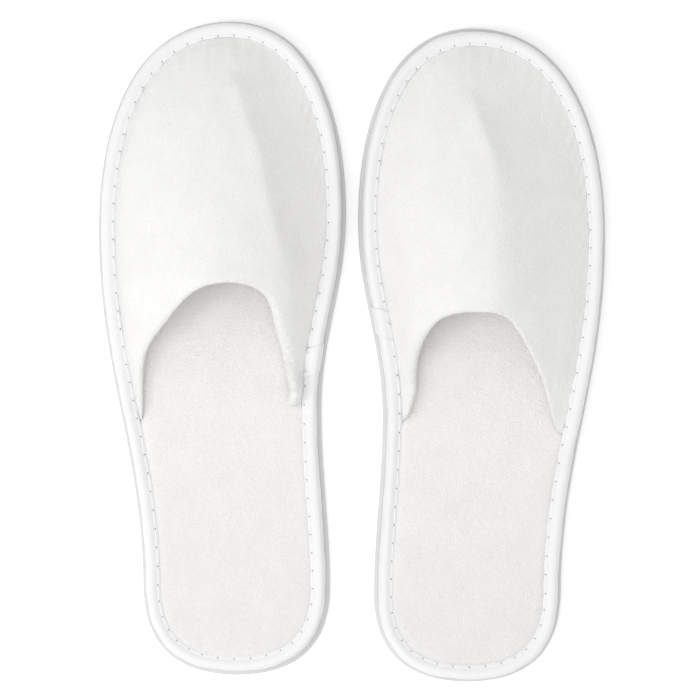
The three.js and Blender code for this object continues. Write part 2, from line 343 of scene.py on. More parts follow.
def grid_mesh(points, round_rows, round_columns, size=(1.0, 1.0), marks=None):
    """A smooth mesh on a grid of points, whose rows and columns may each close on themselves.

    Its UV runs over the size given, in metres. Marks are named values for each point. Faces are
    turned to point out of the body, and points that lie on each other, as at a pole, are joined.
    """
    rows, columns = points.shape[:2]
    corner = np.arange(rows * columns).reshape(rows, columns)
    faces_down = rows if round_rows else rows - 1
    faces_across = columns if round_columns else columns - 1
    i, j = np.meshgrid(np.arange(faces_down), np.arange(faces_across), indexing="ij")
    below, right = (i + 1) % rows, (j + 1) % columns
    quads = [corner[i, j], corner[below, j], corner[below, right], corner[i, right]]
    quads = np.stack(quads, axis=-1).reshape(-1, 4)
    u = np.stack([i, i + 1, i + 1, i], axis=-1) / faces_down * size[0]
    v = np.stack([j, j, j + 1, j + 1], axis=-1) / faces_across * size[1]
    coordinates = np.stack([u, v], axis=-1).reshape(-1, 2)
    places = points.reshape(-1, 3)
    a, b, c, d = (places[quads[:, k]] for k in range(4))
    volume = (np.cross(a, b) * c).sum() + (np.cross(a, c) * d).sum()
    if volume < 0:
        quads = quads[:, ::-1]
        coordinates = coordinates.reshape(-1, 4, 2)[:, ::-1].reshape(-1, 2)
    mesh = bpy.data.meshes.new("surface")
    mesh.vertices.add(len(places))
    mesh.vertices.foreach_set("co", places.astype(np.float32).ravel())
    mesh.loops.add(quads.size)
    mesh.loops.foreach_set("vertex_index", quads.astype(np.int32).ravel())
    mesh.polygons.add(len(quads))
    mesh.polygons.foreach_set("loop_start", np.arange(0, quads.size, 4, dtype=np.int32))
    mesh.update(calc_edges=True)
    layer = mesh.uv_layers.new(name="weave")
    layer.data.foreach_set("uv", coordinates.astype(np.float32).ravel())
    for mark, values in (marks or {}).items():
        attribute = mesh.attributes.new(mark, "FLOAT", "POINT")
        attribute.data.foreach_set("value", values.astype(np.float32).ravel())
    mesh.shade_smooth()
    mesh.validate()
    sheet = bmesh.new()
    sheet.from_mesh(mesh)
    bmesh.ops.remove_doubles(sheet, verts=sheet.verts, dist=1e-7)
    bmesh.ops.dissolve_degenerate(sheet, edges=sheet.edges, dist=1e-7)
    sheet.to_mesh(mesh)
    sheet.free()
    return mesh


def area_of(points):
    """Area of an open grid of points: half the cross product of each face's diagonals."""
    first = points[1:, 1:] - points[:-1, :-1]
    second = points[1:, :-1] - points[:-1, 1:]
    return float(np.linalg.norm(np.cross(first, second), axis=-1).sum() / 2)


def plate(sole, insets, heights, fill_rows):
    """The surface of a flat layer, as rings round the sole from the top's middle to the bottom's.

    Near its edge a ring is the outline moved in by an inset, at a height. The first and the last
    ring of these are then carried in straight lines to the spine, in a number of rows.
    """
    rings = [np.insert(sole.inset(i), 2, z, axis=1) for i, z in zip(insets, heights)]
    edge = np.stack(rings, axis=1)
    shares = np.linspace(1, 0, fill_rows, endpoint=False)[None, :, None]
    spine = np.insert(sole.spine, 2, 0, axis=1)[:, None, :]

    def inwards(ring):
        target = spine + np.array([0, 0, 1]) * ring[:, None, 2:3]
        return ring[:, None, :] + (target - ring[:, None, :]) * shares

    return np.concatenate([inwards(edge[:, 0]), edge, inwards(edge[:, -1])[:, ::-1]], axis=1)


def edge_profile(low, high, radius, inset, steps=5):
    """Insets and heights round a plate's edge: a quarter circle, a straight wall, and another."""
    turn = np.linspace(0, math.pi / 2, steps)
    insets = inset + radius * (1 - np.sin(turn))
    drop = radius * (1 - np.cos(turn))
    heights = np.concatenate([high - drop, low + drop[::-1]])
    return np.concatenate([insets, insets[::-1]]), heights


def tread(places, sole):
    """Height of the ribs' grooves: rows of waves across the sole, fading towards its edge."""
    x, y = places[..., 0], places[..., 1]
    wave = tread_wave * np.sin(x * math.tau / tread_wave_length)
    rib = 0.5 + 0.5 * np.cos((y + wave) * math.tau / tread_pitch)
    groove = 1 - np.clip((rib - 0.25) / 0.35, 0, 1)
    inner, outer = sole.sides(y)
    room = np.minimum(np.abs(x - inner), np.abs(x - outer))
    return tread_depth * groove * np.clip(room / tread_margin - 1, 0, 1)


def outsole_mesh(sole):
    """The sheet's rounded plate, with its underside raised by the tread's grooves."""
    low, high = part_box(f"{sole.name}_outsole")
    insets, heights = edge_profile(low.z, high.z, outsole_round, 0.0)
    points = plate(sole, insets, heights, outsole_fill)
    under = points[..., 2] < low.z + 1e-6
    points[..., 2] += np.where(under, tread(points, sole), 0.0)
    return grid_mesh(points, True, False)


def foam_sheet():
    """Closed-cell EVA: a matte pale grey with fine pores, darkened in them as painted shade, and a
    faint cloudiness.
    """
    made, wire = material("eva_foam", 0.62, 0.35)
    where = wire.places()
    cloud = wire.noise(where, 60.0)
    pores = wire.cells(where, 2600.0)
    pits = 1 - pores.between(0.0, 0.35)
    colour = wire.tint(cloud, (0.64, 0.64, 0.63, 1), (0.71, 0.71, 0.705, 1))
    # Painted shade: the pores are tinted darker, as the shade inside them
    colour = wire.tint(pits * 0.25, colour, (0.5, 0.5, 0.49, 1))
    height = wire.noise(where, 900.0) - pits * 0.4
    return finish_with(made, colour, wire.relief(height, 0.0001, 0.6))


def sewn_piece(sole, name, node, mesh, material):
    """Shows one slipper's piece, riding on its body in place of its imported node."""
    piece = show(f"{sole.name}_{name}", mesh, material)
    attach(piece, f"{sole.name}_slipper")
    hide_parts(f"{sole.name}_{node}")
    return piece


eva_foam = foam_sheet()
for sole in SOLES:
    sewn_piece(sole, "eva_outsole", "outsole", outsole_mesh(sole), eva_foam)


# ---- Insole boards and pads ----
# On the outsole lies the insole: a stiff pressed board that keeps the sole flat, and on it a thin
# pad of open-cell foam. Both are cut just inside the binding, and the board is glued down.

insole_inset = 0.0025
board_round = 0.0003
pad_round = 0.0009
layer_fill = 8


def layer_mesh(sole, node, radius):
    """A plain rounded plate that fills the layer's place in the sole."""
    low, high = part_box(f"{sole.name}_{node}")
    insets, heights = edge_profile(low.z, high.z, radius, insole_inset, 4)
    return grid_mesh(plate(sole, insets, heights, layer_fill), True, False)


def pressed_board():
    """Grey-brown pulp board, with short fibres pressed flat in all directions."""
    made, wire = material("insole_board", 0.85, 0.2)
    where = wire.places()
    fibres = wire.noise(wire.stretched(where, (1.0, 5.0, 1.0), 0.6), 500.0)
    flecks = wire.cells(where, 700.0).between(0.0, 0.3)
    colour = wire.tint(fibres, (0.68, 0.62, 0.52, 1), (0.78, 0.73, 0.63, 1))
    colour = wire.tint((1 - flecks) * 0.4, colour, (0.5, 0.44, 0.36, 1))
    return finish_with(made, colour, wire.relief(fibres, 0.0001))


def open_foam():
    """Soft polyurethane foam, off-white, full of small open cells, whose hollows are darkened as
    painted shade.
    """
    made, wire = material("soft_foam", 0.95, 0.1)
    where = wire.places()
    cells = wire.cells(where, 1500.0, "DISTANCE_TO_EDGE")
    walls = 1 - cells.between(0.0, 0.16)
    # Painted shade: the cells' hollows are tinted darker than their walls
    colour = wire.tint(walls, (0.80, 0.78, 0.71, 1), (0.93, 0.92, 0.87, 1))
    return finish_with(made, colour, wire.relief(walls, 0.0002))


board_finish = pressed_board()
foam_finish = open_foam()
for sole in SOLES:
    board = layer_mesh(sole, "insole_board", board_round)
    sewn_piece(sole, "pressed_board", "insole_board", board, board_finish)
    pad = layer_mesh(sole, "insole_pad", pad_round)
    pad = sewn_piece(sole, "foam_pad", "insole_pad", pad, foam_finish)


# ---- Insole covers ----
# The foot stands on a sheet of cut-loop velour laid over the pad. It is held down round its edge
# by the binding's stitches, and between them the pad swells it into a low, slightly uneven crown.

cover_crown = 0.0006
seam_inset = 0.0072
shoulder_width = 0.0042
cover_sink = 0.0009
cover_edge = 0.0002
cover_fill = 44
cover_reach = 0.0240
cover_tuck = 0.0066
crowned_rings = 20
lie_depth = 0.00020
nap_depth = 0.00006
stitch_pitch = 0.008


def ripple(places, seed, waves, longest, shortest):
    """A soft random relief between -1 and 1: a sum of plane waves of seeded length and direction."""
    rng = np.random.default_rng(seed)
    total = np.zeros(places.shape[:-1])
    for _ in range(waves):
        length = longest * (shortest / longest) ** rng.random()
        turn = rng.random() * math.tau
        phase = rng.random() * math.tau
        along = places[..., 0] * math.cos(turn) + places[..., 1] * math.sin(turn)
        total += np.sin(along * math.tau / length + phase)
    return total / math.sqrt(waves) / 1.6


def cover_mesh(sole):
    """The cover's plate: flat under the binding, then a shoulder up to a crowned, napped top."""
    low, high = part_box(f"{sole.name}_insole_cover")
    rows = np.linspace(cover_reach, seam_inset, 22)
    rows = np.concatenate([rows, np.linspace(cover_tuck, insole_inset + cover_edge, 5)])
    rise = np.clip((rows - seam_inset) / shoulder_width, 0, 1)
    top = high.z - cover_sink + cover_sink * (1 - (1 - rise) ** 2)
    insets = np.concatenate([rows, [insole_inset, insole_inset, insole_inset + cover_edge]])
    heights = np.concatenate([top, [top[-1] - cover_edge, low.z + cover_edge, low.z]])
    points = plate(sole, insets, heights, cover_fill)
    inner, outer = sole.sides(points[..., 1])
    share = np.clip((points[..., 0] - inner) / np.where(inner == outer, 1, outer - inner), 0, 1)
    crown = cover_crown * np.sqrt(np.clip(4 * share * (1 - share), 0, 1))
    lie = lie_depth * ripple(points, 11 + sole.side, 14, 0.090, 0.022)
    nap = nap_depth * ripple(points, 5 + sole.side, 60, 0.0060, 0.0024)
    rings = cover_fill + crowned_rings
    points[:, :rings, 2] += (crown + lie + nap)[:, :rings]
    return grid_mesh(points, True, False)


def velour(name, light, shade, nap_scale, nap_height, strokes, painted_heel_shade=0.0):
    """Short brushed pile: tufts about a millimetre across, laid in faint strokes, with a sheen.

    Towards the heel the pile may be tinted darker, as painted shade where the light falls off.
    """
    sheen = {"Sheen Weight": 0.28, "Sheen Roughness": 0.45, "Sheen Tint": (1, 1, 1, 1)}
    made, wire = material(name, 0.93, 0.12, sheen)
    where = wire.places()
    tufts = wire.noise(where, nap_scale, 2.0, 0.55)
    lay = wire.noise(wire.stretched(where, (3.4, 1.0, 1.0), 0.35), nap_scale * 0.42, 2.0)
    brushed = wire.noise(wire.stretched(where, (1.6, 1.0, 1.0), -0.2), 70.0, 3.0)
    fuzz = wire.noise(where, nap_scale * 3.2, 2.0, 0.7)
    height = tufts * (1 - strokes) + lay * strokes + fuzz * 0.35
    tone = tufts * 0.5 + lay * 0.3 + brushed * 0.5
    colour = wire.tint(tone.between(0.42, 0.88), shade, light)
    if painted_heel_shade:
        # Painted shade: darker towards the heel, standing in for the light falling off there
        along = wire.node("ShaderNodeSeparateXYZ", {}, {"Vector": where}, "Y")
        painted_heel_falloff = 1 - along.between(-0.15, 0.02)
        colour = wire.tint(painted_heel_falloff * painted_heel_shade, colour, (0.60, 0.585, 0.58, 1))
    return finish_with(made, colour, wire.relief(height, nap_height, 0.8))


# The insole's velour carries painted shade that darkens it towards the heel
cover_finish = velour(
    "insole_velour", light=(0.955, 0.943, 0.938, 1), shade=(0.90, 0.886, 0.878, 1),
    nap_scale=1100.0, nap_height=0.0009, strokes=0.3, painted_heel_shade=0.2,
)
for sole in SOLES:
    cover = cover_mesh(sole)
    cover = sewn_piece(sole, "velour_cover", "insole_cover", cover, cover_finish)
    low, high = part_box(f"{sole.name}_insole_cover")
    cut = sole.inset(insole_inset)
    size = (high.x - low.x, high.y - low.y)


# ---- Binding tapes and laps ----
# A strip of folded tape wraps the edge of the insole, and ahead of the wings the upper's edge too.
# It is pulled over tight, so it stands as a soft roll with a pucker at each needle hole. Its end
# is folded in and lapped over its start on the inner side of the waist.

tape_rim = 0.0017
tape_inset = 0.0080
tape_thickness = 0.0007
tape_gap = 0.0001
tape_steps_each = 18
tape_columns = 40
lap_columns = 31
tape_swell = 0.0010
pucker_depth = 0.00004
hole_depth = 0.0007
hole_radius = 0.00038
scallop = 0.00024
wing_at = {"left": (0.1170, 0.1100), "right": (0.1135, 0.1073)}
lap_at = {"left": 0.137, "right": 0.156}
lap_length = 0.0125
lap_slant = 0.0060
lap_stand = 0.75
# How far, in X and Y, each binding sits off the middle of its sole
binding_shift = {"left": (-0.0003, 0.0004), "right": (0.0002, -0.0003)}


class Seam:
    """The binding's run round one sole: a whole number of stitches, each with even steps.

    `front` goes from 0 behind the wings' ends to 1 ahead of them, where the tape lies higher.
    """

    def __init__(self, sole, steps_each):
        self.sole = sole
        self.stitches = round(sole.length / stitch_pitch)
        count = self.stitches * steps_each
        place = np.arange(count) / count * edge_steps + 2
        self.edge = between_rows(wrapped(sole.edge), place) + np.array(binding_shift[sole.name])
        self.out = between_rows(wrapped(sole.out), place)
        self.stitch = np.arange(count) / steps_each
        self.run = np.arange(count) / count * sole.length
        y = self.edge[:, 1] - sole.heel
        inner = np.arange(count) < count / 2
        start = np.where(inner, wing_at[sole.name][0], wing_at[sole.name][1])
        self.front = 1 / (1 + np.exp(-(y - start - 0.0006) / 0.0009))

    def at(self, inset, height):
        """Points along the run at an inset from the sole's edge and a height."""
        return np.insert(self.edge - self.out * np.reshape(inset, (-1, 1)), 2, height, axis=1)


def tape_levels(sole):
    """Heights of the tape's underside, and of its upper flap behind and ahead of the wings."""
    low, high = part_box(f"{sole.name}_binding_tape")
    cover_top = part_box(f"{sole.name}_insole_cover")[1].z
    return low.z, cover_top - cover_sink + 0.9 * tape_thickness + tape_gap, high.z - tape_gap


# The tape's outside, from its raw inner edge over the roll and down to the outsole: a share of
# its width, a share of its rise, and the roll's swell
TAPE_OUTSIDE = (
    (0.00, 0.955, 0.0), (0.03, 0.985, 0.06), (0.12, 1.0, 0.22), (0.20, 1.0, 0.42), (0.32, 1.0, 0.90),
    (0.50, 1.0, 1.45), (0.68, 1.0, 1.45), (0.84, 1.0, 0.90), (0.95, 0.86, 0.0), (1.00, 0.60, 0.0),
    (1.00, 0.34, 0.0), (0.97, 0.10, 0.0), (0.88, 0.0, 0.0), (0.60, 0.0, 0.0), (0.30, 0.0, 0.0),
    (0.02, 0.0, 0.0),
)


def tape_surface(seam, away=0.0):
    """The tape's closed section carried round the sole, and a mark at its needle holes for their
    painted shadow.

    Outside, its inset, height and swell follow the cubic through the profile's rows. It puckers
    between the stitches and dips into a funnel at each needle hole. Inside, it is every third
    column of the same face, moved in by the tape's thickness.
    """
    sole = seam.sole
    bottom, behind, ahead = tape_levels(sole)
    flap = behind + (ahead - behind) * seam.front
    rows = resampled(TAPE_OUTSIDE, tape_columns)
    width = tape_inset - tape_rim
    inset = tape_inset - rows[:, 0] * width
    height = bottom + (flap[:, None] - bottom) * rows[:, 1]
    phase = seam.stitch[:, None] * math.tau
    rng = np.random.default_rng(31 + sole.side)
    each = rng.normal(0, 1, (seam.stitches + 1, 3))
    each[-1] = each[0]
    uneven = between_rows(each, seam.stitch)
    puff = 1 - 0.03 * np.cos(phase) + 0.03 * uneven[:, :1]
    height = height + rows[:, 2] * tape_swell * puff
    roll = np.exp(-((rows[:, 0] - 0.45) / 0.28) ** 2)
    height += pucker_depth * roll * np.sin(2 * phase + 6.6 * rows[:, 0] + uneven[:, 1:2])
    side = np.clip((rows[:, 0] - 0.7) / 0.3, 0, 1) * (rows[:, 1] > 0.02)
    inset = inset + side * (0.00004 * np.cos(phase) + 0.00008 * uneven[:, 2:3])
    raw = np.clip(1 - rows[:, 0] / 0.12, 0, 1)
    inset = inset + raw * scallop * (0.5 - 0.5 * np.cos(phase) + 0.25 * uneven[:, 1:2])
    from_hole = (seam.stitch - np.round(seam.stitch))[:, None] * stitch_pitch
    from_line = seam_inset - inset
    top = (rows[:, 1] > 0.99)[None, :]
    # The hole's bell sets the funnel's dip, and also marks where the tape's colour paints the shadow
    # in the hole
    hole = np.exp(-((from_hole**2 + from_line**2) / hole_radius**2)) * top
    height -= hole_depth * hole
    height += top * away
    inset = inset - np.clip((rows[:, 0] - 0.8) / 0.2, 0, 1) * away
    columns = [seam.at(inset[:, k], height[:, k]) for k in range(tape_columns)]
    further = tape_thickness * np.interp(rows[:, 0], [0, 0.85, 1.0], [0, 0, 1])
    lower = tape_thickness * np.interp(rows[:, 1], [0, 0.1, 0.9, 1.0], [-1, -0.4, 0.4, 1])
    inside = range(tape_columns - 1, -1, -3)
    columns += [seam.at(inset[:, k] + further[k], height[:, k] - lower[k]) for k in inside]
    return np.stack(columns, axis=1), np.pad(hole, ((0, 0), (0, len(inside))))


def unit(vectors):
    """Vectors divided by their lengths."""
    length = np.linalg.norm(vectors, axis=-1, keepdims=True)
    return vectors / np.where(length < 1e-12, 1, length)


def wall_mesh(outer, inner, size=(1.0, 1.0)):
    """A closed body between two sheets of points that lie face to face, shut at both ends."""
    middle = (outer + inner) / 2
    loop = np.concatenate([outer, inner[:, ::-1]], axis=1)
    caps = np.concatenate([middle, middle[:, ::-1]], axis=1)
    return grid_mesh(np.concatenate([caps[:1], loop, caps[-1:]]), False, True, size)


def lap_mesh(seam):
    """The tape's folded end: a short length of the same section, which stands off the tape.

    Its two cut ends slant, and are pressed down over a short run. It is closed by a second face
    below it and inwards.
    """
    sole = seam.sole
    points, _ = tape_surface(seam, tape_thickness * lap_stand)
    y = seam.edge[:, 1] - sole.heel
    inner = np.arange(len(y)) < len(y) / 2
    first = int(np.argmax(inner & (y > lap_at[sole.name] - lap_length / 2)))
    steps = int(round(lap_length / (sole.length / len(y))))
    part = slice(first, first + steps + 1)
    chosen = points[part, :lap_columns]
    run = np.linspace(0, 1, steps + 1)
    ends = 1 - np.clip(np.minimum(run, 1 - run) / 0.07, 0, 1)
    slant = (np.linspace(-0.5, 0.5, lap_columns) * lap_slant)[None, :, None]
    outer = chosen + unit(np.gradient(chosen, axis=0)) * slant
    inwards = np.insert(-seam.out[part], 2, -1, axis=1)[:, None, :]
    under = outer + inwards * tape_thickness * 0.55
    outer = outer + inwards * (ends**2)[:, None, None] * tape_thickness * 0.27
    return wall_mesh(outer, under, (lap_length, 0.03))


def woven_tape():
    """Fine twill tape: slanting ribs a little under a millimetre apart, slightly cool, soft gloss,
    with painted shadow in its needle holes.
    """
    made, wire = material("binding_tape", 0.72, 0.3, {"Sheen Weight": 0.12})
    weave = wire.node("ShaderNodeUVMap", {"uv_map": "weave"}, {})
    ribs = wire.node(
        "ShaderNodeTexWave",
        {"wave_type": "BANDS", "bands_direction": "DIAGONAL"},
        {"Vector": weave, "Scale": 520.0, "Distortion": 1.2, "Detail": 1.0, "Detail Scale": 2.0},
        "Fac",
    )
    cloud = wire.noise(wire.places(), 140.0)
    hole = wire.node("ShaderNodeAttribute", {"attribute_name": "hole"}, {}, "Fac")
    colour = wire.tint(cloud, (0.845, 0.842, 0.842, 1), (0.875, 0.872, 0.872, 1))
    colour = wire.tint(ribs * 0.18, colour, (0.84, 0.845, 0.86, 1))
    # Painted shadow: the needle holes are tinted dark grey, as the shade inside them
    colour = wire.tint(hole.between(0.25, 0.8), colour, (0.26, 0.26, 0.28, 1))
    height = ribs * 0.6 + wire.noise(wire.places(), 1200.0) * 0.4
    return finish_with(made, colour, wire.relief(height, 0.00006, 0.7))


tape_finish = woven_tape()
for sole in SOLES:
    seam = Seam(sole, tape_steps_each)
    # The marks carry the painted shadow of the needle holes to the tape's material
    points, hole_shadow_marks = tape_surface(seam)
    size = (sole.length, 0.045)
    tape = grid_mesh(points, True, True, size, {"hole": hole_shadow_marks})
    tape = sewn_piece(sole, "edge_binding", "binding_tape", tape, tape_finish)
    lap = lap_mesh(seam)
    lap = sewn_piece(sole, "binding_lap_end", "binding_lap", lap, tape_finish)
    tape_area = area_of(points[:, :tape_columns])
    size = (tape_area / sole.length, sole.length + lap_length)


# ---- Binding stitches ----
# One two-ply thread is lockstitched through the tape and all it wraps, a stitch every 8 mm. Each
# stitch lies on the tape between two needle holes, and dives into them at its ends.

thread_radius = 0.00022
thread_steps_each = 34
thread_columns = 10
stitch_arch = 0.00006
stitch_sway = 0.00010
ply_length = 0.0016
dive_length = 0.0006
dive_depth = 0.0011


def thread_mesh(sole):
    """A tube along the seam line. Its section has two lobes, one for each ply, and turns as it
    goes. Its height is a low arch over each stitch, less a steep bell at each needle hole."""
    seam = Seam(sole, thread_steps_each)
    _, behind, ahead = tape_levels(sole)
    flap = behind + (ahead - behind) * seam.front
    from_hole = np.abs(seam.stitch - np.round(seam.stitch)) * stitch_pitch
    dive = np.exp(-((from_hole / dive_length) ** 2))
    arch = 1 - (2 * (seam.stitch % 1) - 1) ** 2
    height = flap + tape_swell * 0.20 + thread_radius * 0.30 + stitch_arch * arch - dive_depth * dive
    path = seam.at(seam_inset + stitch_sway * np.sin(seam.stitch * 2.4), height)
    along = unit(np.roll(path, -1, axis=0) - np.roll(path, 1, axis=0))
    out = np.insert(seam.out, 2, 0, axis=1)
    up = np.cross(out, along) * sole.side
    turn = np.linspace(0, math.tau, thread_columns, endpoint=False)[None, :]
    twist = (seam.run * math.tau / ply_length)[:, None]
    radius = thread_radius * (1 + 0.20 * np.cos(2 * (turn - twist)))
    points = (
        path[:, None, :]
        + out[:, None, :] * (radius * np.cos(turn))[..., None]
        + up[:, None, :] * (radius * np.sin(turn))[..., None]
    )
    return grid_mesh(points, True, True)


def spun_thread():
    """White polyester thread with a slight gloss."""
    made, wire = material("thread", 0.5, 0.4)
    lint = wire.noise(wire.places(), 2500.0)
    colour = wire.tint(lint, (0.88, 0.88, 0.885, 1), (0.94, 0.94, 0.945, 1))
    return finish_with(made, colour, wire.relief(lint, 0.00004))


thread_finish = spun_thread()
for sole in SOLES:
    thread = thread_mesh(sole)
    sewn_piece(sole, "lockstitch", "binding_stitching", thread, thread_finish)


# ---- Uppers ----
# The toe upper is one laminate: a brushed velour shell, 2 mm of soft foam and a smooth lining. It
# is sewn in flat under the binding, springs up from the seam, and has taken a crease from being
# packed: along its inner side on the left slipper, nearer the middle on the right one. At the
# mouth the laminate is turned in on itself as a fat soft hem.

fold_inset = 0.0079
shell_thickness = 0.0010
hem_width = 0.0085
hem_thickness = 0.0012
stack_depth = 0.0040
floor_gap = 0.0002
layer_step = 0.00012
margin_columns = 6
lip_columns = 14
lip_least = 0.0006
lip_room = 0.0018
finger_reach = 0.0036
point_reach = 0.014
lip_fuzz = 0.00010
lift_ease = 0.0006
seam_pucker = 0.00018
pucker_reach = 0.003
upper_lie = 0.0004
wing_height = 0.32
wing_fall_from = 0.105
wing_drop = 0.0021
pinch_height = 0.0011
pinch_reach = 0.0055
dimple_depth = 0.0005
dimple_reach = 0.0021
# Depths under the skin of a layer's two faces: in the seam, and where it lies free
foam_depths = ((0.0009, 0.0015), (0.0013, 0.0030))
lining_depths = ((0.0018, 0.0022), (0.0033, 0.0040))

# How each upper lies. A place is a pair: a share of the way from the inner side to the outer one,
# and a distance from the back of the heel. The ridge's pairs are such a distance first, then the
# share. The lip's radii, and how many times wider than high it is, run from the inner wing on.
UPPERS = {
    "left": {
        "crown": 0.0315,
        "tip": 0.1726,
        "mouth": (
            (0.112, 0.1175), (0.094, 0.1255), (0.128, 0.1403), (0.181, 0.1520), (0.248, 0.1645),
            (0.338, 0.1708), (0.450, 0.1726), (0.560, 0.1704), (0.650, 0.1645), (0.737, 0.1550),
            (0.830, 0.1445), (0.872, 0.1355), (0.896, 0.1253), (0.902, 0.1180), (0.908, 0.1120),
        ),
        "lip": (0.0028, 0.0033, 0.0031, 0.0022, 0.0016, 0.0016, 0.0017, 0.0018, 0.0018),
        "lip_spread": (1.7, 1.7, 1.4, 1.1, 1, 1, 1, 1, 1),
        "ridge": (
            (0.119, 0.03), (0.132, 0.03), (0.143, 0.05), (0.161, 0.107), (0.183, 0.19),
            (0.202, 0.26), (0.228, 0.315), (0.243, 0.368), (0.262, 0.43), (0.286, 0.45),
        ),
        "crease_side": "inner",
        "crease": (0.030, 0.016),
        "flank": 1.05,
        "pinched": (0.165, 0.262),
        "dimple": (0.440, 0.2630),
    },
    "right": {
        "crown": 0.0305,
        "tip": 0.1627,
        "mouth": (
            (0.094, 0.1138), (0.112, 0.1186), (0.118, 0.1260), (0.124, 0.1360), (0.152, 0.1450),
            (0.203, 0.1530), (0.275, 0.1593), (0.361, 0.1624), (0.480, 0.1628), (0.551, 0.1617),
            (0.600, 0.1592), (0.645, 0.1540), (0.700, 0.1455), (0.769, 0.1342), (0.815, 0.1245),
            (0.861, 0.1138), (0.884, 0.1093),
        ),
        "lip": (0.0018, 0.0026, 0.0026, 0.0020, 0.0016, 0.0014, 0.0013, 0.0013, 0.0013),
        "lip_spread": (1, 1),
        "ridge": (
            (0.109, 0.66), (0.159, 0.60), (0.188, 0.593), (0.214, 0.582), (0.230, 0.547),
            (0.246, 0.48), (0.258, 0.44), (0.286, 0.44),
        ),
        "crease_side": "outer",
        "crease": (0.17, 0.014),
        "flank": 1.0,
        "pinched": (0.205, 0.258),
        "dimple": (0.420, 0.2597),
    },
}


def mouth_line(sole, count):
    """The mouth's edge in plan: the cubic through its places, with points evenly along it."""
    dense = resampled(UPPERS[sole.name]["mouth"], 500)
    y = sole.heel + dense[:, 1]
    return evenly(np.column_stack([sole.across(dense[:, 0], y), y]), count)


def seam_line(sole, count):
    """The seam's fold in plan, its outward directions, and its places along the sole's edge.

    It runs from the inner wing round the toe to the outer wing, slower at first and at last, so
    that lines from it to the mouth stay square to the wings.
    """
    y = sole.edge[:, 1] - sole.heel
    half = edge_steps // 2
    ends = wing_at[sole.name]
    first = np.interp(ends[0], y[:half], np.arange(half))
    last = edge_steps - np.interp(ends[1], y[::-1][:half], np.arange(1, half + 1))
    share = np.linspace(0, 1, count)
    share = share - 0.55 * np.sin(math.tau * share) / (math.tau)
    places = first + (last - first) * share
    out = between_rows(sole.out, places)
    fold = between_rows(sole.edge, places) - out * fold_inset
    return fold + np.array(binding_shift[sole.name]), out, places


def dome(share):
    """A full arch across: nothing at both seams, 1 in the middle, steep at first."""
    return np.clip(4 * share * (1 - share), 0, 1) ** 0.82


def arch_height(sole, x, y):
    """Height of the upper over the seam at a place in plan.

    Across, it is the lower of a full arch and of a straight flank that rises from one side's seam
    to the crease, with the crease softened. Along, it climbs in a ramp from the toe's seam, easing
    off towards the mouth's tip, and it falls away down the wings. A pinch stands along the crease
    as a narrow bell, and at its toe end is a small dent.
    """
    lie = UPPERS[sole.name]
    shift = binding_shift[sole.name]
    x, y = x - shift[0], y - shift[1]
    inner, outer = sole.sides(y, fold_inset)
    wide = np.where(np.abs(outer - inner) < 1e-6, 1e-6, outer - inner)
    share = np.clip((x - inner) / wide, 0, 1)
    along = y - sole.heel
    ridge = np.interp(along, *np.array(lie["ridge"]).T)
    inside = lie["crease_side"] == "inner"
    climb = share / ridge if inside else (1 - share) / (1 - ridge)
    cut = dome(ridge) * np.clip(climb, 0, 3) ** lie["flank"]
    full = dome(share)
    soft = np.interp(along, (0.155, 0.235), lie["crease"])
    soft = soft * np.clip(3 * np.minimum(full, cut), 0, 1)
    arch = np.clip((full + cut - np.sqrt((full - cut) ** 2 + soft**2)) / 2, 0, None)
    toe = sole.toe - sole.heel - fold_inset
    gone = np.clip((toe - along) / (toe - lie["tip"]), 0, 1)
    ramp = (1 - (1 - gone) ** 2.0) ** 0.86
    fall = np.clip((along - wing_fall_from) / (lie["tip"] - wing_fall_from), 0, 1)
    height = lie["crown"] * ramp * (wing_height + (1 - wing_height) * fall**0.9) * arch
    start, end = lie["pinched"]
    window = np.clip((along - start) / 0.03, 0, 1) * np.clip((end - along) / 0.008, 0, 1)
    from_ridge = (share - ridge) * np.abs(wide)
    height += pinch_height * window * np.exp(-((from_ridge / pinch_reach) ** 2))
    dip = ((share - lie["dimple"][0]) * wide) ** 2 + (along - lie["dimple"][1]) ** 2
    return height - dimple_depth * np.exp(-dip / dimple_reach**2)


def lip_radii(sole, count):
    """Radius of the mouth's lip along it, the cubic through its values.

    It narrows at the wings' ends: as a quarter circle, like a fingertip, at the left slipper's
    inner wing, and as a power of the distance, to a point, at the other three.
    """
    radius = resampled(UPPERS[sole.name]["lip"], count)
    mouth = mouth_line(sole, count)
    length = np.linalg.norm(np.diff(mouth, axis=0), axis=1).sum()
    from_end = np.minimum(np.arange(count), count - 1 - np.arange(count)) / (count - 1) * length
    blunt = np.sqrt(1 - (1 - np.clip(from_end / finger_reach, 0, 1)) ** 2)
    pointed = np.clip(from_end / point_reach, 0, 1) ** 0.8
    finger = (np.arange(count) < count / 2) & (sole.name == "left")
    return lip_least + (radius - lip_least) * np.where(finger, blunt, pointed)


